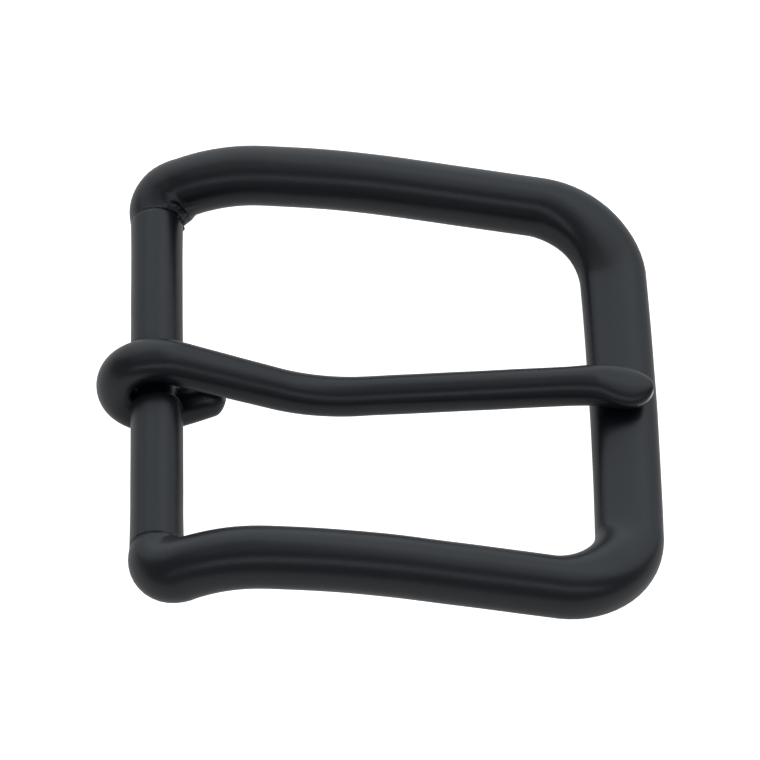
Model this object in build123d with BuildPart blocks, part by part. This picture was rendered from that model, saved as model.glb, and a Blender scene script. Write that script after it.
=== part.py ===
"""Single-prong heel-bar belt buckle, as separate sub-parts in one frame.

X runs from the heel bar to the front bar, Y along the heel bar, Z up through the
wearer's face of the buckle. The origin is the centre of the heel bar's axis.
"""
from build123d import *
from math import cos, pi, radians, sin, tan
import os

# ------------------------------------------------------------------ driving sizes, mm and degrees
strap_width = 40.0        # clear width between the side arms
reach = 44.6              # heel bar axis to front bar axis
arm_radius = 2.93         # round side arms and their bent heel ends
elbow_gap = 0.35          # the heel end's bend clears its own inner corner by this much
elbow_tilt = 29.0         # the heel ends are bent in a plane that rises this steeply to the front
stub_inset = 0.4          # the heel end's face stands this far in from the arm's inner side

crest_radius = 13.6       # tight arc over the crest, up to this slope on its far side
crest_far_slope = 3.0
back_radius = 85.0        # long arc behind the crest, down to the slope of the straight run
run_slope = 12.6

front_half_width = 3.25   # front bar, flattened from the arm's round section
front_half_height = 2.25
front_underside_z = -6.4
front_squareness = 2.6    # 2 is an ellipse, more is squarer
front_bow = 0.2           # the front bar curves outwards by this much at its middle
front_sag = 0.2           # its ends stand this much higher than its middle
sag_share = 0.5           # share of each half of the bar over which they come down
corner_radius = 7.7       # front corners, along the centreline
corner_lift = 0.15        # their middle stands this much above an even descent to the front bar
corner_bank = 10.0        # their section leans outwards by this much at the middle

bar_radius = 2.5          # heel bar
bar_flare = 0.05          # it grows this much in radius towards each weld
bar_flare_length = 4.0
neck_radius = 1.9         # reduced neck that carries the prong
neck_length = 5.2
neck_shoulder = 0.35      # length of the sloped shoulder at each end of the neck

weld_crown = 0.3          # a weld bead stands this far out from the bar's end
weld_length = 1.6
weld_shoulder = 0.22      # height of the bead's rounded flank, a little below its crown

prong_radius = 1.9        # round rod the prong is bent from
eye_clearance = 0.08      # radial gap between the neck and the eye
prong_y = -0.35           # where the eye sits along the neck
eye_exit_angle = 22.5     # the shaft leaves the eye this far past its top
tail_angle = 24.0         # the tail leaves the eye this far past its bottom
tail_length = 5.6         # straight stretch of the tail before its end is cut
tail_end_x = 6.4          # cut end of the tail
tail_gap = 0.12           # hairline between the tail's end and the shaft
shaft_rise_angle = 4.4    # slope of the shaft towards the front bar
dip_radius = 18.0         # bend at the lowest point of the shaft
rest_gap = 0.2            # between the shaft's line and the front bar at rest; the tip droops into it
tip_start = 5.2           # tapered tip begins this far behind the front bar's axis
tip_overhang = 2.85       # tip reaches this far past the front bar's axis

# ------------------------------------------------------------------ sizes that follow
arm_y = strap_width / 2 + arm_radius
bar_end_radius = bar_radius + bar_flare
stub_face_y = strap_width / 2 - stub_inset
elbow_radius = arm_radius + elbow_gap
elbow_y = arm_y - elbow_radius
elbow_exit_x = elbow_radius * cos(radians(elbow_tilt))
elbow_exit_z = elbow_radius * sin(radians(elbow_tilt))
back_start_x = elbow_exit_x + crest_radius * (sin(radians(elbow_tilt)) + sin(radians(crest_far_slope)))
back_start_z = elbow_exit_z + crest_radius * (cos(radians(crest_far_slope)) - cos(radians(elbow_tilt)))
run_start_x = back_start_x + back_radius * (sin(radians(run_slope)) - sin(radians(crest_far_slope)))
run_start_z = back_start_z - back_radius * (cos(radians(crest_far_slope)) - cos(radians(run_slope)))
front_z = front_underside_z + front_half_height
front_top_z = front_z + front_half_height
corner_x = reach - corner_radius
corner_y = arm_y - corner_radius
corner_z = run_start_z - (corner_x - run_start_x) * tan(radians(run_slope))
eye_radius = neck_radius + eye_clearance + prong_radius


def corner_station(share):
    """Place, direction, section and lean of the far front corner, from the arm (0) to the bar (1)."""
    turn = pi / 2 * share
    corner_length = corner_radius * pi / 2
    start_drop = tan(radians(run_slope)) * corner_length
    end_drop = 2 * front_sag / (sag_share * corner_y) * corner_length
    drop = corner_z - front_z - front_sag
    # A cubic that leaves at the arm's slope and arrives at the bar's, lifted a little half way.
    square_part = 2 * start_drop + end_drop - 3 * drop
    cube_part = 2 * drop - start_drop - end_drop
    z = corner_z - start_drop * share + square_part * share**2 + cube_part * share**3
    z += corner_lift * sin(pi * share) ** 2
    slope = -start_drop + 2 * square_part * share + 3 * cube_part * share**2
    slope += corner_lift * pi * sin(2 * pi * share)
    place = Vector(corner_x + corner_radius * sin(turn), corner_y + corner_radius * cos(turn), z)
    along = Vector(cos(turn), -sin(turn), slope / corner_length)
    eased = share * share * (3 - 2 * share)
    half_width = arm_radius + (front_half_width - arm_radius) * eased**0.7
    half_height = arm_radius + (front_half_height - arm_radius) * eased**1.3
    lean = radians(corner_bank) * sin(pi * share)
    return (place, along, half_width, half_height, 2 + (front_squareness - 2) * eased**0.7, lean)


def bar_station(share):
    """Place, direction, section and lean of the front bar, from the far corner (0) to its middle (1)."""
    raised = max(0.0, 1 - share / sag_share)
    z = front_z + front_sag * raised**2
    place = Vector(reach + front_bow * (1 - (1 - share) ** 2), corner_y * (1 - share), z)
    slope = -2 * front_sag * raised / (sag_share * corner_y)
    along = Vector(2 * front_bow * (1 - share) / corner_y, -1, slope)
    return (place, along, front_half_width, front_half_height, front_squareness, 0)


def front_stations(corner_steps=6, bar_steps=6):
    """Stations from the far arm's end, round both corners, to the near arm's end."""
    far = [corner_station(step / corner_steps) for step in range(corner_steps)]
    far += [bar_station(step / bar_steps) for step in range(bar_steps + 1)]
    near = [
        (Vector(place.X, -place.Y, place.Z), Vector(-along.X, along.Y, -along.Z), *sizes)
        for place, along, *sizes in reversed(far[:-1])
    ]
    return far + near


def outline(half_width, half_height, squareness, count=12):
    """Points round a section: an ellipse that grows squarer as squareness rises above 2."""
    points = []
    for index in range(count):
        turn = 2 * pi * index / count
        across = abs(cos(turn)) ** (2 / squareness) * half_width
        upward = abs(sin(turn)) ** (2 / squareness) * half_height
        points.append((across if cos(turn) >= 0 else -across, upward if sin(turn) >= 0 else -upward))
    return points


# ------------------------------------------------------------------ frame
# One bent bow: arched round arms with heel ends bent in to the heel bar, and a flattened front bar.
elbow_plane = Plane(origin=(0, elbow_y, 0), x_dir=(0, 1, 0),
                    z_dir=(sin(radians(elbow_tilt)), 0, -cos(radians(elbow_tilt))))
arm_plane = Plane(origin=(0, arm_y, 0), x_dir=(1, 0, 0), z_dir=(0, -1, 0))
with BuildPart() as frame:
    with BuildLine() as far_arm:
        Line((0, stub_face_y, 0), (0, elbow_y, 0))
        with BuildLine(elbow_plane):
            JernArc(start=(0, 0), tangent=(1, 0), radius=elbow_radius, arc_size=90)
        with BuildLine(arm_plane):
            JernArc(
                start=(elbow_exit_x, elbow_exit_z),
                tangent=(cos(radians(elbow_tilt)), sin(radians(elbow_tilt))),
                radius=crest_radius,
                arc_size=-elbow_tilt - crest_far_slope,
            )
            JernArc(
                start=(back_start_x, back_start_z),
                tangent=(cos(radians(crest_far_slope)), -sin(radians(crest_far_slope))),
                radius=back_radius,
                arc_size=crest_far_slope - run_slope,
            )
            Line((run_start_x, run_start_z), (corner_x, corner_z))
    with BuildSketch(Plane.XZ.offset(-stub_face_y)):
        Circle(arm_radius)
    sweep(path=far_arm.wires()[0])
    mirror(about=Plane.XZ)
    for place, along, half_width, half_height, squareness, lean in front_stations():
        inward = along.cross(Vector(0, 0, 1)).normalized() * cos(lean) + Vector(0, 0, 1) * sin(lean)
        across = inward - along * (inward.dot(along) / along.dot(along))
        with BuildSketch(Plane(origin=place, x_dir=across, z_dir=along)):
            if squareness == 2:
                Circle(half_width)
            else:
                with BuildLine():
                    Spline(*outline(half_width, half_height, squareness), periodic=True)
                make_face()
    loft()
frame.part.label = "frame"

# ------------------------------------------------------------------ heel bar
# A straight rod turned down to a short neck at its middle, flared where it is welded.
with BuildPart() as heel_bar:
    with BuildSketch(Plane.XY):
        with BuildLine():
            neck_end = neck_length / 2
            Polyline(
                (0, -stub_face_y),
                (bar_end_radius, -stub_face_y),
                (bar_radius, -stub_face_y + bar_flare_length),
                (bar_radius, -neck_end - neck_shoulder),
                (neck_radius, -neck_end),
                (neck_radius, neck_end),
                (bar_radius, neck_end + neck_shoulder),
                (bar_radius, stub_face_y - bar_flare_length),
                (bar_end_radius, stub_face_y),
                (0, stub_face_y),
                close=True,
            )
        make_face()
    revolve(axis=Axis.Y)
heel_bar.part.label = "heel_bar"

# ------------------------------------------------------------------ weld beads
# A lumpy collar of weld metal round each end of the heel bar, against the turned-in arm end.
weld_toe_radius = bar_end_radius - bar_flare * weld_length / bar_flare_length
weld_toe_y = stub_face_y - weld_length
welds = {}
for name, side in (("weld_far", 1), ("weld_near", -1)):
    with BuildPart() as weld:
        with BuildSketch(Plane.XY):
            with BuildLine():
                Line((bar_end_radius, side * stub_face_y), (weld_toe_radius, side * weld_toe_y))
                ThreePointArc(
                    (weld_toe_radius, side * weld_toe_y),
                    (bar_end_radius + weld_shoulder, side * (stub_face_y - weld_length / 2)),
                    (bar_end_radius + weld_crown, side * stub_face_y),
                )
                Line((bar_end_radius + weld_crown, side * stub_face_y), (bar_end_radius, side * stub_face_y))
            make_face()
        revolve(axis=Axis.Y)
    weld.part.label = name
    welds[name] = weld

# ------------------------------------------------------------------ prong
# One round rod: a tail under the bar, an eye round the neck, a dipped shaft and a tapered tip.
prong_plane = Plane(origin=(0, prong_y, 0), x_dir=(1, 0, 0), z_dir=(0, -1, 0))
exit_slope = tan(radians(eye_exit_angle))
rise_slope = tan(radians(shaft_rise_angle))
eye_exit = (eye_radius * sin(radians(eye_exit_angle)), eye_radius * cos(radians(eye_exit_angle)))
tail_start = (eye_radius * sin(radians(tail_angle)), -eye_radius * cos(radians(tail_angle)))

# The shaft's straight rise passes this point over the front bar.
rest_z = front_top_z + prong_radius + rest_gap
# Where the two straight runs of the shaft would meet, and how far the dip's bend reaches.
meet_x = (eye_exit[1] + exit_slope * eye_exit[0] - rest_z + rise_slope * reach) / (rise_slope + exit_slope)
meet_z = rest_z - rise_slope * (reach - meet_x)
bend_reach = dip_radius * tan(radians((eye_exit_angle + shaft_rise_angle) / 2))
dip_start = (
    meet_x - bend_reach * cos(radians(eye_exit_angle)),
    meet_z + bend_reach * sin(radians(eye_exit_angle)),
)
dip_end = (
    meet_x + bend_reach * cos(radians(shaft_rise_angle)),
    meet_z + bend_reach * sin(radians(shaft_rise_angle)),
)
tip_base = (reach - tip_start, rest_z - rise_slope * tip_start)
tip_length = tip_start + tip_overhang
# Tip sections: place back from the very end as a share of the tip's length, then half width, half
# height, and drop below the shaft's line, all three in prong radii.
tip_sections = [
    (1.0, 1.0, 1.0, 0.0),
    (0.82, 1.04, 0.995, 0.0),
    (0.652, 1.105, 0.97, 0.02),
    (0.503, 1.22, 0.85, 0.17),
    (0.366, 1.26, 0.74, 0.32),
    (0.255, 1.2, 0.66, 0.43),
    (0.155, 1.02, 0.59, 0.5),
    (0.075, 0.74, 0.47, 0.5),
    (0.025, 0.48, 0.32, 0.48),
    (0.0, 0.24, 0.17, 0.46),
]


def across_rod(point, angle):
    """The plane square to the rod at a point of its side view, looking along the given angle."""
    return Plane(
        origin=(point[0], prong_y, point[1]),
        x_dir=(0, 1, 0),
        z_dir=(cos(radians(angle)), 0, sin(radians(angle))),
    )


with BuildPart() as prong:
    # Tail, coped to lie under the shaft with a hairline between them.
    with BuildSketch(across_rod(tail_start, tail_angle)):
        Circle(prong_radius)
    extrude(amount=tail_length)
    with BuildSketch(across_rod(eye_exit, -eye_exit_angle)):
        Circle(prong_radius + tail_gap)
    extrude(amount=2 * tail_end_x, mode=Mode.SUBTRACT)
    with Locations((tail_end_x + prong_radius, prong_y, 0)):
        Box(2 * prong_radius, 3 * prong_radius, 12 * prong_radius, mode=Mode.SUBTRACT)
    # Eye and shaft in one sweep.
    with BuildLine(prong_plane) as centreline:
        CenterArc((0, 0), eye_radius, 270 + tail_angle, -(180 + tail_angle + eye_exit_angle))
        Line(eye_exit, dip_start)
        JernArc(
            start=dip_start,
            tangent=(cos(radians(eye_exit_angle)), -sin(radians(eye_exit_angle))),
            radius=dip_radius,
            arc_size=eye_exit_angle + shaft_rise_angle,
        )
        Line(dip_end, tip_base)
    with BuildSketch(across_rod(tail_start, tail_angle)):
        Circle(prong_radius)
    sweep(path=centreline.line)
    # Tapered tip, which droops onto the front bar and ends in a small flat.
    for back, width, height, drop in tip_sections:
        x = reach + tip_overhang - back * tip_length
        z = rest_z + rise_slope * (x - reach) - drop * prong_radius
        with BuildSketch(across_rod((x, z), shaft_rise_angle if back == 1 else 0)):
            Ellipse(width * prong_radius, height * prong_radius)
    loft(ruled=True)
prong.part.label = "prong"

os.makedirs("parts", exist_ok=True)
export_step(frame.part, "parts/frame.step")
export_step(heel_bar.part, "parts/heel_bar.step")
export_step(prong.part, "parts/prong.step")
for name, weld in welds.items():
    export_step(weld.part, "parts/" + name + ".step")
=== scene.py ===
import bmesh
import bpy
from math import cos, exp, pi, radians, sin, tan
from mathutils import Matrix, Vector, noise


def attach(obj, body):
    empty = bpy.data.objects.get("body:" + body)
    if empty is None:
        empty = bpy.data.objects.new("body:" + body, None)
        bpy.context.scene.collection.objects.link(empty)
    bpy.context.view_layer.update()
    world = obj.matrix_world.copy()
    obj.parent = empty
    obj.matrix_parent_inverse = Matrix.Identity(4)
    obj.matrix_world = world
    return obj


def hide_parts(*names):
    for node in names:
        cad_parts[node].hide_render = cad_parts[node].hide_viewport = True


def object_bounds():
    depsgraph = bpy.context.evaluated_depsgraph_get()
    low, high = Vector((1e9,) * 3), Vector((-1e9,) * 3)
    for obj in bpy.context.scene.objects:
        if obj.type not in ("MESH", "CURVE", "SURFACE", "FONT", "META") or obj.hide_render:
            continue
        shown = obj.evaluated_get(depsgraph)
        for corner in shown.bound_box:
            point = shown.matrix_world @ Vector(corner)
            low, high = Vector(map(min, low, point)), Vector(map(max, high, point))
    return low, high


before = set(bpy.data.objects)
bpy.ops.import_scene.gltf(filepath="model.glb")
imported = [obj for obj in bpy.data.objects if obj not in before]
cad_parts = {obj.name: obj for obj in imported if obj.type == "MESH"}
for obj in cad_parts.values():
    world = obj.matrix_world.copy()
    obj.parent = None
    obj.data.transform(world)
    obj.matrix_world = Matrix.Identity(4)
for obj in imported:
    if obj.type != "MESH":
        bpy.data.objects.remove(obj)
cad_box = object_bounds()

# ---------------------------------------------------------------- table
# A smooth white sheet that the buckle lies on, flat out to the edges of the view.
# It is lit from below as a light table is, so what falls on it hardly darkens it.
mm = 0.001
table_half = 3.0
table_gap = 0.02 * mm
table_mesh = bmesh.new()
bmesh.ops.create_grid(
    table_mesh, x_segments=2, y_segments=2, size=table_half,
    matrix=Matrix.Translation((0, 0, cad_box[0].z - table_gap)),
)
table_data = bpy.data.meshes.new("white_table")
table_mesh.to_mesh(table_data)
table_mesh.free()
table = bpy.data.objects.new("white_table", table_data)
bpy.context.scene.collection.objects.link(table)


def add_node(tree, kind, values=None, **settings):
    """A shader node with its settings made and the values of its unlinked inputs filled in."""
    node = tree.nodes.new(kind)
    for setting, choice in settings.items():
        setattr(node, setting, choice)
    for socket, value in (values or {}).items():
        node.inputs[socket].default_value = value
    return node


sheet = bpy.data.materials.new("white_sheet")
sheet.use_nodes = True
sheet_shader = sheet.node_tree.nodes["Principled BSDF"]
sheet_shader.inputs["Base Color"].default_value = (0.74, 0.735, 0.725, 1)
sheet_shader.inputs["Roughness"].default_value = 0.9
sheet_shader.inputs["Emission Color"].default_value = (1.0, 0.998, 0.99, 1)
seen = add_node(sheet.node_tree, "ShaderNodeLightPath")
glow = add_node(sheet.node_tree, "ShaderNodeMath", {1: 0.9, 2: 0.2}, operation="MULTIPLY_ADD")
sheet.node_tree.links.new(seen.outputs["Is Camera Ray"], glow.inputs[0])
sheet.node_tree.links.new(glow.outputs[0], sheet_shader.inputs["Emission Strength"])
table_data.materials.append(sheet)

# ---------------------------------------------------------------- studio light
# Large softboxes hang behind, over and to the front side of the buckle, a narrow strip stands
# in front of it, and dim grey walls close the room.


def softbox(name, azimuth, elevation, distance, width, height, radiance, tint):
    """A rectangle of even light that faces the buckle from the given direction."""
    away = Vector((
        sin(radians(azimuth)) * cos(radians(elevation)),
        -cos(radians(azimuth)) * cos(radians(elevation)),
        sin(radians(elevation)),
    ))
    lamp = bpy.data.lights.new(name, "AREA")
    lamp.shape = "RECTANGLE"
    lamp.size = width
    lamp.size_y = height
    lamp.energy = pi * width * height * radiance
    lamp.color = tint
    holder = bpy.data.objects.new(name, lamp)
    holder.location = away * distance
    holder.rotation_euler = away.to_track_quat("Z", "Y").to_euler()
    bpy.context.scene.collection.objects.link(holder)


softbox("back_wall", azimuth=178, elevation=31, distance=1.2, width=3.8, height=1.6,
        radiance=0.61, tint=(0.85, 0.935, 1.0))
softbox("key_softbox", azimuth=187, elevation=35, distance=1.15, width=1.25, height=1.05,
        radiance=0.32, tint=(0.89, 0.96, 1.0))
softbox("side_softbox", azimuth=124, elevation=52, distance=1.1, width=0.8, height=0.8,
        radiance=0.42, tint=(0.88, 0.95, 1.0))
softbox("overhead_softbox", azimuth=180, elevation=83, distance=1.1, width=2.0, height=0.8,
        radiance=0.3, tint=(0.92, 0.96, 1.0))
softbox("front_strip", azimuth=10, elevation=44.5, distance=1.0, width=2.2, height=0.24,
        radiance=1.1, tint=(0.85, 0.86, 1.0))
walls = bpy.data.worlds.new("grey_walls")
bpy.context.scene.world = walls
walls.use_nodes = True
walls.node_tree.nodes["Background"].inputs["Color"].default_value = (0.97, 0.985, 1.0, 1)
walls.node_tree.nodes["Background"].inputs["Strength"].default_value = 0.22
bpy.context.scene.view_settings.view_transform = "Standard"

# ---------------------------------------------------------------- camera
# A long lens that looks down across the near arm, rolled a little to the right.
view_azimuth = radians(-3.49)
view_elevation = radians(52.19)
view_roll = radians(2.68)
view_distance = 0.5323
view_centre = Vector((21.28, 0.28, 0.0)) * mm
sideways = Vector((cos(view_azimuth), sin(view_azimuth), 0))
backward = Vector((
    sin(view_azimuth) * cos(view_elevation),
    -cos(view_azimuth) * cos(view_elevation),
    sin(view_elevation),
))
upward = backward.cross(sideways)
rolled_right = sideways * cos(view_roll) + upward * sin(view_roll)
rolled_up = upward * cos(view_roll) - sideways * sin(view_roll)
camera_data = bpy.data.cameras.new("camera")
camera_data.sensor_width = 36
camera_data.lens = 264.2
camera_data.clip_start = 0.01
camera_data.clip_end = 20
camera = bpy.data.objects.new("camera", camera_data)
camera.matrix_world = Matrix.Translation(view_centre + backward * view_distance) @ Matrix(
    (rolled_right, rolled_up, backward)).transposed().to_4x4()
bpy.context.scene.collection.objects.link(camera)
bpy.context.scene.camera = camera

# ---------------------------------------------------------------- bow
# One length of round steel rod, bent hot into a C: two arched side arms, wide front corners and
# heel ends that turn in to the heel bar. The front stretch is pressed flatter than the arms, and
# the whole is under one thin satin black powder coat, baked on after welding.
ring_sides = 88
ring_gap = 0.7 * mm
strap_width = 40.0 * mm
reach = 44.6 * mm
arm_radius = 2.93 * mm
arm_y = strap_width / 2 + arm_radius
bar_face_y = strap_width / 2 - 0.4 * mm

elbow_radius = arm_radius + 0.35 * mm
elbow_tilt = radians(29.0)
elbow_bulge = 0.45 * mm
elbow_fill = 0.3 * mm
elbow_steps = 14
stub_radius = 2.55 * mm
stub_growth = 1.5           # the rod is at its full thickness after 1 / 1.5 of the bend
crest_radius = 13.6 * mm
crest_far_slope = radians(3.0)
back_radius = 85.0 * mm
run_slope = radians(12.6)

corner_radius = 7.7 * mm
corner_y = arm_y - corner_radius
corner_lift = 0.15 * mm
corner_bank = radians(10.0)
corner_swell = 0.1 * mm
front_half_width = 3.25 * mm
front_half_height = 2.25 * mm
front_z = -6.4 * mm + front_half_height
front_squareness = 2.6
front_bow = 0.2 * mm
front_sag = 0.2 * mm
sag_share = 0.5

skin_waviness = 0.022 * mm
skin_wave_size = 5.0 * mm
heel_corner = Vector((1.7 * mm, 19.6 * mm, 1.3 * mm))     # where the window meets a heel end
heel_corner_reach = 2.6 * mm
spatter_size = 0.32 * mm
far_spatter, near_spatter = 0.3 * mm, 0.06 * mm
far_fill, near_fill = -0.05 * mm, 0.26 * mm


def group(name, inputs, outputs):
    """An empty shader node group with its sockets, its input node and its output node."""
    tree = bpy.data.node_groups.new(name, "ShaderNodeTree")
    for socket_name, kind, value in inputs:
        socket = tree.interface.new_socket(socket_name, in_out="INPUT", socket_type=kind)
        if value is not None:
            socket.default_value = value
    for socket_name, kind in outputs:
        tree.interface.new_socket(socket_name, in_out="OUTPUT", socket_type=kind)
    return tree, add_node(tree, "NodeGroupInput"), add_node(tree, "NodeGroupOutput")


def powder_grain_group():
    """The coating's fine grain on a slow waviness, as a height, and the waviness alone, as a cloud."""
    tree, enter, leave = group(
        "powder_grain",
        [("Vector", "NodeSocketVector", None), ("Grains per metre", "NodeSocketFloat", 3500.0),
         ("Waves per metre", "NodeSocketFloat", 180.0), ("Waviness", "NodeSocketFloat", 0.35)],
        [("Height", "NodeSocketFloat"), ("Cloud", "NodeSocketFloat")],
    )
    grain = add_node(tree, "ShaderNodeTexNoise", {"Detail": 3, "Roughness": 0.6})
    wave = add_node(tree, "ShaderNodeTexNoise", {"Detail": 2})
    height = add_node(tree, "ShaderNodeMath", operation="MULTIPLY_ADD")
    tree.links.new(enter.outputs["Vector"], grain.inputs["Vector"])
    tree.links.new(enter.outputs["Grains per metre"], grain.inputs["Scale"])
    tree.links.new(enter.outputs["Vector"], wave.inputs["Vector"])
    tree.links.new(enter.outputs["Waves per metre"], wave.inputs["Scale"])
    tree.links.new(wave.outputs[0], height.inputs[0])
    tree.links.new(enter.outputs["Waviness"], height.inputs[1])
    tree.links.new(grain.outputs[0], height.inputs[2])
    tree.links.new(height.outputs[0], leave.inputs["Height"])
    tree.links.new(wave.outputs[0], leave.inputs["Cloud"])
    return tree


def dust_group():
    """A mask of small round specks, in a few of the cells that it divides space into."""
    tree, enter, leave = group(
        "dust_specks",
        [("Vector", "NodeSocketVector", None), ("Specks per metre", "NodeSocketFloat", 420.0),
         ("Speck size", "NodeSocketFloat", 0.036)],
        [("Mask", "NodeSocketFloat")],
    )
    cells = add_node(tree, "ShaderNodeTexVoronoi")
    near = add_node(tree, "ShaderNodeMath", operation="LESS_THAN")
    chosen = add_node(tree, "ShaderNodeSeparateColor")
    few = add_node(tree, "ShaderNodeMath", {1: 0.86}, operation="GREATER_THAN")
    both = add_node(tree, "ShaderNodeMath", operation="MULTIPLY")
    tree.links.new(enter.outputs["Vector"], cells.inputs["Vector"])
    tree.links.new(enter.outputs["Specks per metre"], cells.inputs["Scale"])
    tree.links.new(cells.outputs["Distance"], near.inputs[0])
    tree.links.new(enter.outputs["Speck size"], near.inputs[1])
    tree.links.new(cells.outputs["Color"], chosen.inputs[0])
    tree.links.new(chosen.outputs[0], few.inputs[0])
    tree.links.new(near.outputs[0], both.inputs[0])
    tree.links.new(few.outputs[0], both.inputs[1])
    tree.links.new(both.outputs[0], leave.inputs["Mask"])
    return tree


powder_grain = powder_grain_group()
dust_specks = dust_group()


def satin_coat(name, roughness, grain_depth, waviness):
    """Satin black powder coat: near-black, faintly blue, with its grain in the bump and the gloss."""
    material = bpy.data.materials.new(name)
    material.use_nodes = True
    tree = material.node_tree
    shader = tree.nodes["Principled BSDF"]
    shader.inputs["Specular IOR Level"].default_value = 0.5
    shader.inputs["IOR"].default_value = 1.5
    place = add_node(tree, "ShaderNodeTexCoord")
    grain = add_node(tree, "ShaderNodeGroup", node_tree=powder_grain)
    grain.inputs["Waviness"].default_value = waviness
    specks = add_node(tree, "ShaderNodeGroup", node_tree=dust_specks)
    gloss = add_node(tree, "ShaderNodeMapRange", {
        "From Min": 0.3, "From Max": 0.7, "To Min": roughness - 0.02, "To Max": roughness + 0.03})
    colour = add_node(tree, "ShaderNodeMix", data_type="RGBA")
    colour.inputs["A"].default_value = (0.0045, 0.006, 0.0095, 1)
    colour.inputs["B"].default_value = (0.085, 0.086, 0.09, 1)
    bump = add_node(tree, "ShaderNodeBump", {"Strength": 1.0, "Distance": grain_depth})
    tree.links.new(place.outputs["Object"], grain.inputs["Vector"])
    tree.links.new(place.outputs["Object"], specks.inputs["Vector"])
    tree.links.new(grain.outputs["Cloud"], gloss.inputs["Value"])
    tree.links.new(gloss.outputs[0], shader.inputs["Roughness"])
    tree.links.new(specks.outputs["Mask"], colour.inputs["Factor"])
    tree.links.new(colour.outputs["Result"], shader.inputs["Base Color"])
    tree.links.new(grain.outputs["Height"], bump.inputs["Height"])
    tree.links.new(bump.outputs["Normal"], shader.inputs["Normal"])
    return material


def ring(mesh, place, along, side, half_width, half_height, squareness=2.0, sides=ring_sides):
    """A closed ring of edges square to the rod, drawn as an ellipse that may be squared off."""
    along = along.normalized()
    side = (side - along * side.dot(along)).normalized()
    turned = Matrix((side, along.cross(side), along)).transposed().to_4x4()
    placed = Matrix.Translation(place) @ turned
    verts = bmesh.ops.create_circle(mesh, segments=sides, radius=1.0, matrix=placed)["verts"]
    back = placed.inverted()
    for vert in verts:
        flat = back @ vert.co
        across = abs(flat.x) ** (2 / squareness) * half_width * (1 if flat.x > 0 else -1)
        up = abs(flat.y) ** (2 / squareness) * half_height * (1 if flat.y > 0 else -1)
        vert.co = placed @ Vector((across, up, 0))
    return list({edge for vert in verts for edge in vert.link_edges})


def skin(mesh, rings):
    """Bridges each ring to the next and closes both ends."""
    for first, second in zip(rings, rings[1:]):
        bmesh.ops.bridge_loops(mesh, edges=first + second)
    bmesh.ops.edgeloop_fill(mesh, edges=rings[0])
    bmesh.ops.edgeloop_fill(mesh, edges=rings[-1])


def roughen(mesh, depth, size, seed):
    """Moves the surface in and out a little, slowly, as hand-finished metal is."""
    mesh.normal_update()
    shift = Vector((seed, seed * 0.7, -seed))
    moves = [(vert, vert.normal * depth * noise.noise(vert.co / size + shift)) for vert in mesh.verts]
    for vert, move in moves:
        vert.co += move


def make_piece(mesh, name, material, body, node):
    """Turns a finished mesh into a smooth object that stands for its CAD node and rides its body."""
    bmesh.ops.recalc_face_normals(mesh, faces=mesh.faces)
    for face in mesh.faces:
        face.smooth = True
    data = bpy.data.meshes.new(name)
    mesh.to_mesh(data)
    mesh.free()
    data.materials.append(material)
    piece = bpy.data.objects.new(name, data)
    bpy.context.scene.collection.objects.link(piece)
    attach(piece, body)
    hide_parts(node)


def steps(length):
    """How many rings a stretch of this length needs."""
    return max(2, round(length / ring_gap))


# Each station of the bow has a place, a direction, a half width, a half height, a squareness
# and a lean.
def elbow_stations():
    """The ground stub at the heel bar and the tight bend from it to the arm."""
    stations = [(Vector((0, bar_face_y, 0)), Vector((0, 1, 0)), stub_radius, stub_radius, 2.0, 0.0)]
    rise, forth = sin(elbow_tilt), cos(elbow_tilt)
    for step in range(elbow_steps):
        turn = pi / 2 * step / elbow_steps
        forward = elbow_radius * (1 - cos(turn))
        y = arm_y - elbow_radius + elbow_radius * sin(turn)
        place = Vector((forward * forth, y, forward * rise))
        along = Vector((sin(turn) * forth, cos(turn), sin(turn) * rise))
        outward = Vector((-cos(turn) * forth, sin(turn), -cos(turn) * rise))
        bulge = elbow_bulge / 2 * sin(2 * turn)
        fill = elbow_fill / 2 * sin(2 * turn)
        grown = stub_radius + (arm_radius - stub_radius) * min(1.0, stub_growth * step / elbow_steps)
        stations.append((place + outward * (bulge - fill), along, grown + bulge + fill, grown, 2.0, 0.0))
    return stations


def arm_stations():
    """Over the crest, down the long back and along the straight run, and where the run ends."""
    stations = []
    x, z = elbow_radius * cos(elbow_tilt), elbow_radius * sin(elbow_tilt)
    for radius, first, last in ((crest_radius, elbow_tilt, -crest_far_slope),
                                (back_radius, -crest_far_slope, -run_slope)):
        count = steps(radius * (first - last))
        for step in range(count):
            slope = first + (last - first) * step / count
            forward = radius * (sin(first) - sin(slope))
            place = Vector((x + forward, arm_y, z + radius * (cos(slope) - cos(first))))
            stations.append((place, Vector((cos(slope), 0, sin(slope))), arm_radius, arm_radius, 2.0, 0.0))
        x, z = x + radius * (sin(first) - sin(last)), z + radius * (cos(last) - cos(first))
    corner_x = reach - corner_radius
    corner_z = z - (corner_x - x) * tan(run_slope)
    count = steps(corner_x - x)
    for step in range(count):
        share = step / count
        place = Vector((x + (corner_x - x) * share, arm_y, z + (corner_z - z) * share))
        stations.append((place, Vector((1, 0, -tan(run_slope))), arm_radius, arm_radius, 2.0, 0.0))
    return stations, corner_x, corner_z


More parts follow.
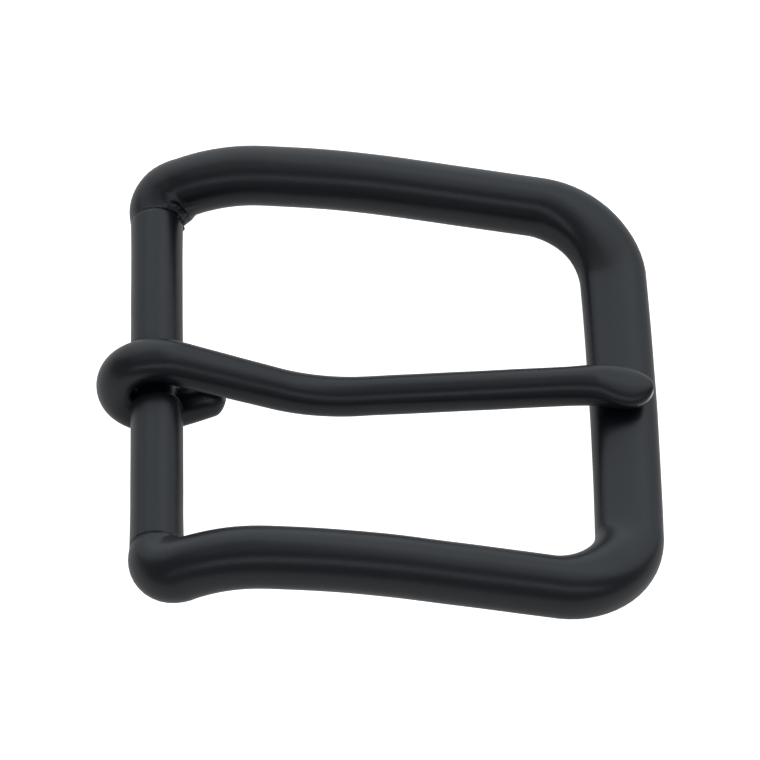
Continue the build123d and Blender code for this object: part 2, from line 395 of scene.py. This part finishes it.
def corner_stations(corner_x, corner_z):
    """Round the corner and down to the front bar, while the rod is pressed flatter and wider."""
    stations = []
    length = corner_radius * pi / 2
    start_drop = tan(run_slope) * length
    end_drop = 2 * front_sag / (sag_share * corner_y) * length
    drop = corner_z - front_z - front_sag
    square_part = 2 * start_drop + end_drop - 3 * drop
    cube_part = 2 * drop - start_drop - end_drop
    count = steps(length)
    for step in range(count):
        share = step / count
        turn = pi / 2 * share
        z = corner_z - start_drop * share + square_part * share**2 + cube_part * share**3
        slope = (-start_drop + 2 * square_part * share + 3 * cube_part * share**2) / length
        z += corner_lift * sin(pi * share) ** 2
        slope += corner_lift * pi * sin(2 * pi * share) / length
        place = Vector((corner_x + corner_radius * sin(turn), corner_y + corner_radius * cos(turn), z))
        pressed = share * share * (3 - 2 * share)
        stations.append((
            place, Vector((cos(turn), -sin(turn), slope)),
            arm_radius + (front_half_width - arm_radius) * pressed**0.7 + corner_swell * sin(pi * share),
            arm_radius + (front_half_height - arm_radius) * pressed**1.3,
            2 + (front_squareness - 2) * pressed**0.6, corner_bank * sin(pi * share),
        ))
    return stations


def front_stations():
    """From the corner to the middle of the front bar, which bows out and sags a little."""
    stations = []
    count = steps(corner_y)
    for step in range(count + 1):
        share = step / count
        raised = max(0.0, 1 - share / sag_share)
        place = Vector((reach + front_bow * (1 - (1 - share) ** 2), corner_y * (1 - share),
                        front_z + front_sag * raised**2))
        along = Vector((2 * front_bow * (1 - share), -corner_y, -2 * front_sag * raised / sag_share))
        stations.append((place, along, front_half_width, front_half_height, front_squareness, 0.0))
    return stations


arm, corner_x, corner_z = arm_stations()
far_stations = elbow_stations() + arm + corner_stations(corner_x, corner_z) + front_stations()
near_stations = [
    (Vector((place.x, -place.y, place.z)), Vector((-along.x, along.y, -along.z)), *sizes)
    for place, along, *sizes in reversed(far_stations[:-1])
]
bow_mesh = bmesh.new()
bow_rings = []
for place, along, half_width, half_height, squareness, lean in far_stations + near_stations:
    inward = along.cross(Vector((0, 0, 1))).normalized() * cos(lean) + Vector((0, 0, sin(lean)))
    bow_rings.append(ring(bow_mesh, place, along, inward, half_width, half_height, squareness))
skin(bow_mesh, bow_rings)
roughen(bow_mesh, skin_waviness, skin_wave_size, seed=3.0)
# Weld spatter and grinding marks spread a little way on to each heel end, most in the far window
# corner. The near corner is filled a little with weld metal.
for vert in bow_mesh.verts:
    far = vert.co.y > 0
    apart = (Vector((vert.co.x, abs(vert.co.y), vert.co.z)) - heel_corner).length
    if apart < heel_corner_reach:
        fading = 1 - apart / heel_corner_reach
        spatter = (far_spatter if far else near_spatter) * noise.noise(vert.co / spatter_size)
        vert.co += vert.normal * ((far_fill if far else near_fill) + spatter) * fading
coated_steel = satin_coat("coated_steel", roughness=0.31, grain_depth=0.012 * mm, waviness=0.9)
make_piece(bow_mesh, "bow", coated_steel, "bow", "frame")

# ---------------------------------------------------------------- heel bar
# A straight steel rod set between the arms' ends and welded there. A short neck is turned in it
# at the middle, and the prong's eye sits in the neck between two sloped shoulders.
bar_radius = 2.5 * mm
bar_flare = 0.05 * mm
bar_flare_length = 4.0 * mm
neck_radius = 1.9 * mm
neck_half = 2.6 * mm
shoulder_length = 0.35 * mm
shoulder_rounding = 0.14 * mm
bar_cuts = 9
long_edge = 3 * mm
bar_waviness, bar_wave_size = 0.015 * mm, 4.0 * mm
bar_profile = [
    (bar_radius + bar_flare, bar_face_y),
    (bar_radius, bar_face_y - bar_flare_length),
    (bar_radius, neck_half + shoulder_length),
    (neck_radius, neck_half),
    (neck_radius, -neck_half),
    (bar_radius, -neck_half - shoulder_length),
    (bar_radius, bar_flare_length - bar_face_y),
    (bar_radius + bar_flare, -bar_face_y),
]
bar_mesh = bmesh.new()
bar_rings = [
    ring(bar_mesh, Vector((0, y, 0)), Vector((0, -1, 0)), Vector((1, 0, 0)), radius, radius)
    for radius, y in bar_profile
]
skin(bar_mesh, bar_rings)
shoulder_edges = [edge for edges in bar_rings[2:6] for edge in edges]
bmesh.ops.bevel(bar_mesh, geom=shoulder_edges, offset=shoulder_rounding, offset_type="OFFSET",
                affect="EDGES", segments=4, profile=0.5, material=-1)
bmesh.ops.subdivide_edges(
    bar_mesh, cuts=bar_cuts,
    edges=[edge for edge in bar_mesh.edges if edge.calc_length() > long_edge],
    use_grid_fill=False,
)
roughen(bar_mesh, bar_waviness, bar_wave_size, seed=11.0)
make_piece(bar_mesh, "heel_bar_rod", coated_steel, "bow", "heel_bar")

# ---------------------------------------------------------------- weld beads
# The bar's ends are fused to the bow by a hand-run bead, heaped in the inner corner and dressed
# down on top. The coating covers it but leaves its lumps and pits.
bead_sides = 200
bead_steps = 40
bead_inner_reach = 1.3 * mm     # rings run this far from the seam on to the bar, and on to the bow
bead_outer_reach = 0.9 * mm
bead_sunk = 0.06 * mm           # away from the seam the bead lies hidden under the bar's skin
bead_crown = 0.075 * mm
narrow_toe, wide_toe = 0.3 * mm, 1.0 * mm
bow_toe = 1.1 * mm
crease_offset = 0.1 * mm
crease_width = 0.16 * mm
lump_size, pit_size = 0.5 * mm, 0.2 * mm
pit_strength = 0.7
least_lumpy = 0.12              # share of the lumps that is left on the dressed side


def weld_bead(name, node, side, lumps, heap, slant, crease_depth, seed):
    """A collar of weld metal from the bar on to the bow's heel end, creased where the two meet."""
    mesh = bmesh.new()
    rings = []
    for step in range(bead_steps + 1):
        y = bar_face_y - bead_inner_reach + (bead_inner_reach + bead_outer_reach) * step / bead_steps
        radius = bar_radius + min(1.0, (y - bar_face_y) / bar_flare_length + 1) * bar_flare - bead_sunk
        rings.append(ring(mesh, Vector((0, side * y, 0)), Vector((0, side, 0)), Vector((1, 0, 0)),
                          radius, radius, sides=bead_sides))
    skin(mesh, rings)
    for vert in mesh.verts:
        spoke = Vector((vert.co.x, 0, vert.co.z))
        window = max(0.0, vert.co.x / spoke.length)
        upper = max(0.0, (vert.co.z + 0.5 * vert.co.x) / spoke.length)
        past_seam = abs(vert.co.y) - bar_face_y
        toe = bow_toe if past_seam >= 0 else narrow_toe + (wide_toe - narrow_toe) * window**1.5
        belly = cos(pi / 2 * min(1.0, abs(past_seam) / toe)) ** 1.3
        off_crease = (past_seam - crease_offset - slant * vert.co.x) / crease_width
        crease = crease_depth * (0.3 + 0.7 * upper) * exp(-off_crease * off_crease)
        lump = noise.noise(vert.co / lump_size + Vector((seed, 0, 0)))
        pit = noise.noise(vert.co / pit_size + Vector((0, seed, 0)))
        swell = bead_crown + heap * window + lumps * (lump + pit_strength * pit) * (least_lumpy + window)
        vert.co += spoke.normalized() * belly * (swell - crease)
    make_piece(mesh, name, coated_weld, "bow", node)


coated_weld = satin_coat("coated_weld", roughness=0.4, grain_depth=0.04 * mm, waviness=1.4)
weld_bead("weld_bead_far", "weld_far", 1, lumps=0.34 * mm, heap=0.06 * mm, slant=-0.12,
          crease_depth=0.2 * mm, seed=4.2)
weld_bead("weld_bead_near", "weld_near", -1, lumps=0.07 * mm, heap=0.26 * mm, slant=-0.3,
          crease_depth=0.07 * mm, seed=9.1)

# ---------------------------------------------------------------- prong
# One round steel rod, bent cold: a tail under the heel bar, an eye closed round the neck, a
# dipped shaft and a tapered tip. The tail's end is cut square and filed to lie under the shaft.
prong_sides = 72
tail_steps = 40
eye_steps = 52
tip_steps = 36
prong_radius = 1.9 * mm
prong_y = -0.35 * mm
prong_waviness, prong_wave_size = 0.015 * mm, 3.5 * mm
eye_gap = 0.08 * mm
eye_radius = neck_radius + eye_gap + prong_radius
eye_exit_angle = radians(22.5)
tail_angle = radians(24.0)
tail_end_x = 6.3 * mm
shaft_gap = 0.12 * mm
tail_rounding = 1.3 * mm
tail_narrowing = 0.55
shaft_rise = radians(4.4)
dip_radius = 18.0 * mm
rest_gap = 0.2 * mm
rest_z = front_z + front_half_height + prong_radius + rest_gap
tip_start = 5.2 * mm
tip_overhang = 2.85 * mm
tip_length = tip_start + tip_overhang
# Shape of the tip: share of its length back from the end, then half width, half height and drop,
# in rod radii.
tip_shape = [
    (1.0, 1.0, 1.0, 0.0), (0.82, 1.04, 0.995, 0.0), (0.652, 1.105, 0.97, 0.02), (0.503, 1.22, 0.85, 0.17),
    (0.366, 1.26, 0.74, 0.32), (0.255, 1.2, 0.66, 0.43), (0.155, 1.02, 0.59, 0.5),
    (0.075, 0.76, 0.48, 0.5), (0.03, 0.54, 0.37, 0.47), (0.008, 0.36, 0.26, 0.44), (0.0, 0.24, 0.17, 0.43),
]


def prong_stations():
    """Side-view place and direction of the rod's centreline, from the tail's end to the tip's base."""
    path = []
    start = Vector((eye_radius * sin(tail_angle), -eye_radius * cos(tail_angle)))
    forward = Vector((cos(tail_angle), sin(tail_angle)))
    tail_length = (tail_end_x - start.x) / cos(tail_angle)
    for step in range(tail_steps):
        path.append((start + forward * tail_length * (1 - (step / tail_steps) ** 1.4), -forward))
    turn_total = pi + tail_angle + eye_exit_angle
    for step in range(eye_steps):
        turn = -pi / 2 + tail_angle - turn_total * step / eye_steps
        path.append((Vector((cos(turn), sin(turn))) * eye_radius, Vector((sin(turn), -cos(turn)))))
    leave = Vector((eye_radius * sin(eye_exit_angle), eye_radius * cos(eye_exit_angle)))
    fall = tan(eye_exit_angle)
    rise = tan(shaft_rise)
    meet_x = (leave.y + fall * leave.x - rest_z + rise * reach) / (rise + fall)
    meet = Vector((meet_x, rest_z - rise * (reach - meet_x)))
    bend_reach = dip_radius * tan((eye_exit_angle + shaft_rise) / 2)
    down = Vector((cos(eye_exit_angle), -sin(eye_exit_angle)))
    up = Vector((cos(shaft_rise), sin(shaft_rise)))
    dip_start = meet - down * bend_reach
    dip_end = meet + up * bend_reach
    count = steps((dip_start - leave).length)
    for step in range(count):
        path.append((leave.lerp(dip_start, step / count), down))
    count = steps(dip_radius * (eye_exit_angle + shaft_rise)) * 2
    for step in range(count):
        slope = -eye_exit_angle + (eye_exit_angle + shaft_rise) * step / count
        offset = Vector((sin(slope) + sin(eye_exit_angle), cos(eye_exit_angle) - cos(slope)))
        path.append((dip_start + offset * dip_radius, Vector((cos(slope), sin(slope)))))
    tip_base = Vector((reach - tip_start, rest_z - rise * tip_start))
    count = steps((tip_base - dip_end).length)
    for step in range(count):
        path.append((dip_end.lerp(tip_base, step / count), up))
    return path


def rod_swell(step, place):
    """Half width and half height in rod radii: the eye has spread in bending, the tail is filed thinner."""
    half_height = min(1.0, 0.88 + 0.12 * step / 30)
    if step < tail_steps:
        return 0.9 + 0.14 * step / tail_steps, half_height
    fading = max(0.0, 1 - max(0.0, place.x - 2 * mm) / (18 * mm))
    return 1 + 0.19 * fading * min(1.0, 0.3 + (step - tail_steps) / 12), half_height


def tip_size(back):
    """Half width, half height and drop at a share of the tip's length back from its end, smoothed."""
    sizes = []
    for column in (1, 2, 3):
        total = weight = 0.0
        for offset in (-0.04, -0.02, 0.0, 0.02, 0.04):
            place = min(1.0, max(0.0, back + offset * min(1.0, back * 6)))
            for near, far in zip(tip_shape[1:], tip_shape):
                if near[0] <= place <= far[0]:
                    share = (place - near[0]) / (far[0] - near[0])
                    total += near[column] + (far[column] - near[column]) * share
                    weight += 1
                    break
        sizes.append(total / weight)
    return sizes


prong_mesh = bmesh.new()
prong_rings = []
for step, (place, along) in enumerate(prong_stations()):
    half_width, half_height = rod_swell(step, place)
    prong_rings.append(ring(
        prong_mesh, Vector((place.x, prong_y, place.y)), Vector((along.x, 0, along.y)), Vector((0, 1, 0)),
        half_width * prong_radius, half_height * prong_radius, sides=prong_sides))
# The tail's end is rounded off at the rim, and coped to the shaft that comes down over it.
tail_verts = {vert for edges in prong_rings[:tail_steps] for edge in edges for vert in edge.verts}
shaft_start = Vector((eye_radius * sin(eye_exit_angle), prong_y, eye_radius * cos(eye_exit_angle)))
shaft_line = Vector((cos(eye_exit_angle), 0, -sin(eye_exit_angle)))
tail_line = Vector((cos(tail_angle), 0, sin(tail_angle)))
tail_end = Vector((tail_end_x, prong_y, -eye_radius * cos(tail_angle)
                   + (tail_end_x - eye_radius * sin(tail_angle)) * tan(tail_angle)))
for vert in tail_verts:
    back_from_end = (tail_end - vert.co).dot(tail_line)
    core = tail_end - tail_line * back_from_end
    if back_from_end < tail_rounding:
        inset = tail_rounding - max(0.0, back_from_end)
        vert.co = core + (vert.co - core) * (1 - tail_narrowing * (inset / tail_rounding) ** 2)
    reach_along = (vert.co - shaft_start).dot(shaft_line)
    shaft_core = shaft_start + shaft_line * reach_along
    spoke = vert.co - shaft_core
    if spoke.length < prong_radius + shaft_gap:
        vert.co = shaft_core + spoke.normalized() * (prong_radius + shaft_gap)
for step in range(tip_steps + 1):
    back = (1 - step / tip_steps) ** 2
    half_width, half_height, drop = tip_size(back)
    x = reach + tip_overhang - back * tip_length
    z = rest_z + tan(shaft_rise) * (x - reach) - drop * prong_radius
    prong_rings.append(ring(
        prong_mesh, Vector((x, prong_y, z)), Vector((cos(shaft_rise), 0, sin(shaft_rise))), Vector((0, 1, 0)),
        half_width * prong_radius, half_height * prong_radius, sides=prong_sides))
skin(prong_mesh, prong_rings)
roughen(prong_mesh, prong_waviness, prong_wave_size, seed=7.0)

# Painted highlight: a bright, fully metallic steel colour is painted along both sides of the tip's rim,
# standing in for the glints on the rim. The rim is where the tip's outline, seen from above, nearly fills
# this ellipse.
highlight_centre = (45.0 * mm, prong_y, 0)
highlight_ellipse = (2.5 * mm, 2.25 * mm, 1)
painted_highlight_steel = (0.7, 0.71, 0.72, 1)
prong_steel = satin_coat("prong_steel", roughness=0.31, grain_depth=0.012 * mm, waviness=0.9)
highlight_tree = prong_steel.node_tree
highlight_shader = highlight_tree.nodes["Principled BSDF"]
highlight_place = add_node(highlight_tree, "ShaderNodeTexCoord")
highlight_map = add_node(highlight_tree, "ShaderNodeMapping", {"Location": highlight_centre, "Scale": highlight_ellipse},
                    vector_type="TEXTURE")
flat_place = add_node(highlight_tree, "ShaderNodeVectorMath", {1: (1, 1, 0)}, operation="MULTIPLY")
from_centre = add_node(highlight_tree, "ShaderNodeVectorMath", operation="LENGTH")
ways = add_node(highlight_tree, "ShaderNodeSeparateXYZ")
aside = add_node(highlight_tree, "ShaderNodeMath", operation="ABSOLUTE")
rim_mask = add_node(highlight_tree, "ShaderNodeMapRange", {"From Min": 0.955, "From Max": 0.99})
ahead_mask = add_node(highlight_tree, "ShaderNodeMapRange", {"From Min": 0.3, "From Max": 0.7})
aside_mask = add_node(highlight_tree, "ShaderNodeMapRange", {"From Min": 0.12, "From Max": 0.3})
both_masks = add_node(highlight_tree, "ShaderNodeMath", operation="MULTIPLY")
highlight_mask = add_node(highlight_tree, "ShaderNodeMath", operation="MULTIPLY")
# painted highlight: the rim mask mixes bright steel colour into the coat's colour and makes it metallic
highlight_mix = add_node(highlight_tree, "ShaderNodeMix", data_type="RGBA")
highlight_mix.inputs["B"].default_value = painted_highlight_steel
for source, target in (
    (highlight_shader.inputs["Base Color"].links[0].from_socket, highlight_mix.inputs["A"]),
    (highlight_place.outputs["Object"], highlight_map.inputs["Vector"]),
    (highlight_map.outputs["Vector"], flat_place.inputs[0]),
    (flat_place.outputs[0], from_centre.inputs[0]),
    (from_centre.outputs["Value"], rim_mask.inputs["Value"]),
    (highlight_map.outputs["Vector"], ways.inputs[0]),
    (ways.outputs["X"], ahead_mask.inputs["Value"]),
    (ways.outputs["Y"], aside.inputs[0]),
    (aside.outputs[0], aside_mask.inputs["Value"]),
    (ahead_mask.outputs[0], both_masks.inputs[0]),
    (aside_mask.outputs[0], both_masks.inputs[1]),
    (rim_mask.outputs[0], highlight_mask.inputs[0]),
    (both_masks.outputs[0], highlight_mask.inputs[1]),
    (highlight_mask.outputs[0], highlight_mix.inputs["Factor"]),
    (highlight_mix.outputs["Result"], highlight_shader.inputs["Base Color"]),
    (highlight_mask.outputs[0], highlight_shader.inputs["Metallic"]),
):
    highlight_tree.links.new(source, target)
make_piece(prong_mesh, "prong_rod", prong_steel, "tongue", "prong")
